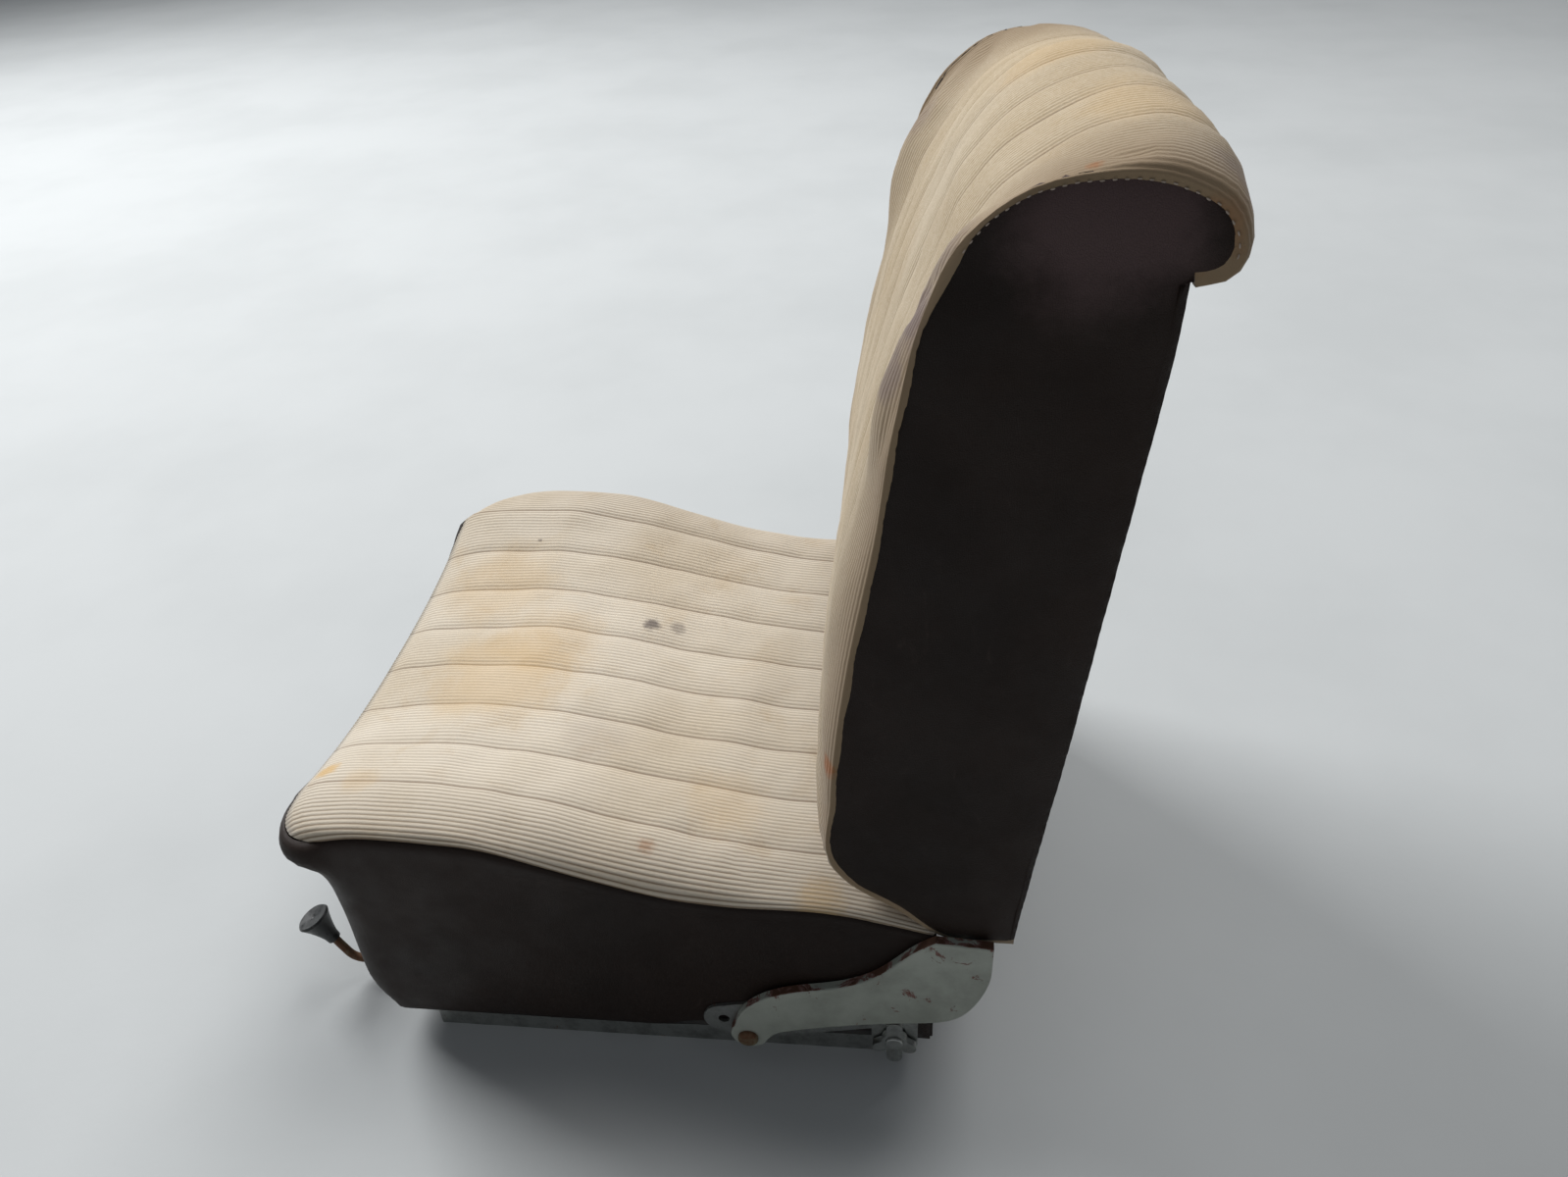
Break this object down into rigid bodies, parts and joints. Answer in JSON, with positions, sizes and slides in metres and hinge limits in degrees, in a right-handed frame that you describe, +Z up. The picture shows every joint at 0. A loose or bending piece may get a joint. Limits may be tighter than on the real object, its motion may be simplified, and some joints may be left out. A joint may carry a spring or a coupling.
{
  "type": "vehicle front seat",
  "caption": "Front bucket seat of an old car: ribbed cloth cushion and fold-forward backrest with head roll, vinyl sides, slide rails and hinge arms.",
  "frame": {"origin": "centre of the four floor-bolt holes, on the floor plane under the rails", "axes": "+Z up, -Y the way the sitter faces, +X the sitter's left"},
  "size_m": [0.5686, 0.7584, 0.7924],
  "materials": {
    "zinc_plated_steel": "dull zinc plate",
    "frame_black": "satin black paint",
    "nylon": "natural nylon",
    "spring_wire": "oiled spring steel",
    "foam": "aged open foam",
    "corduroy": "wide-wale tan corduroy",
    "vinyl": "dark brown grained vinyl",
    "arm_paint": "worn grey-green paint",
    "rusty_steel": "surface rust",
    "knob_plastic": "moulded black plastic"
  },
  "bodies": {
    "floor_rails": {"floor_rail_left": "zinc_plated_steel", "floor_rail_right": "zinc_plated_steel", "latch_rack": "zinc_plated_steel"},
    "seat_base": {"slider_left": "zinc_plated_steel", "slider_right": "zinc_plated_steel", "rail_glides_left": "nylon", "rail_glides_right": "nylon", "side_member_left": "frame_black", "side_member_right": "frame_black", "front_member": "frame_black", "rear_member": "frame_black", "cushion_springs": "spring_wire", "spring_clips": "zinc_plated_steel", "cushion_foam": "foam", "cushion_cover": "corduroy", "side_skirt_left": "vinyl", "side_skirt_right": "vinyl", "front_skirt": "vinyl", "rear_skirt": "vinyl", "hinge_bracket_left": "zinc_plated_steel", "hinge_bracket_right": "zinc_plated_steel", "bracket_screws_left": "zinc_plated_steel", "bracket_screws_right": "zinc_plated_steel", "pivot_rivet_left": "rusty_steel", "pivot_rivet_right": "rusty_steel", "cam_pin_left": "zinc_plated_steel", "cam_pin_right": "zinc_plated_steel", "lever_guides": "zinc_plated_steel"},
    "backrest": {"hinge_arm_left": "arm_paint", "hinge_arm_right": "arm_paint", "arm_screws_left": "zinc_plated_steel", "arm_screws_right": "zinc_plated_steel", "back_hoop": "frame_black", "back_cross_tube": "frame_black", "back_springs": "spring_wire", "back_foam": "foam", "back_cover": "corduroy", "back_side_panel_left": "vinyl", "back_side_panel_right": "vinyl", "rear_panel": "vinyl"},
    "rake_cam_left": {"rake_cam_left": "zinc_plated_steel"},
    "rake_cam_right": {"rake_cam_right": "zinc_plated_steel"},
    "slide_lever": {"lever_rod": "rusty_steel", "lever_knob": "knob_plastic", "lever_spring": "spring_wire"}
  },
  "joints": [
    {"name": "seat_slide", "type": "slide", "parent": "floor_rails", "child": "seat_base", "axis": [0, 1, 0], "range_m": [-0.065, 0.065]},
    {"name": "backrest_fold", "type": "hinge", "parent": "seat_base", "child": "backrest", "pos_m": [0, 0.084, 0.046], "axis": [1, 0, 0], "range_deg": [0, 40]},
    {"name": "cam_turn_left", "type": "hinge", "parent": "seat_base", "child": "rake_cam_left", "pos_m": [0.276, 0.212, 0.05], "axis": [1, 0, 0], "range_deg": [-90, 90]},
    {"name": "cam_turn_right", "type": "hinge", "parent": "seat_base", "child": "rake_cam_right", "pos_m": [-0.276, 0.212, 0.05], "axis": [1, 0, 0], "range_deg": [-90, 90]},
    {"name": "lever_twist", "type": "hinge", "parent": "seat_base", "child": "slide_lever", "pos_m": [0.205, -0.2, 0.022], "axis": [0, -1, 0], "range_deg": [0, 25], "stiffness_Nm_per_rad": 0.6, "springref_deg": -11.46}
  ]
}
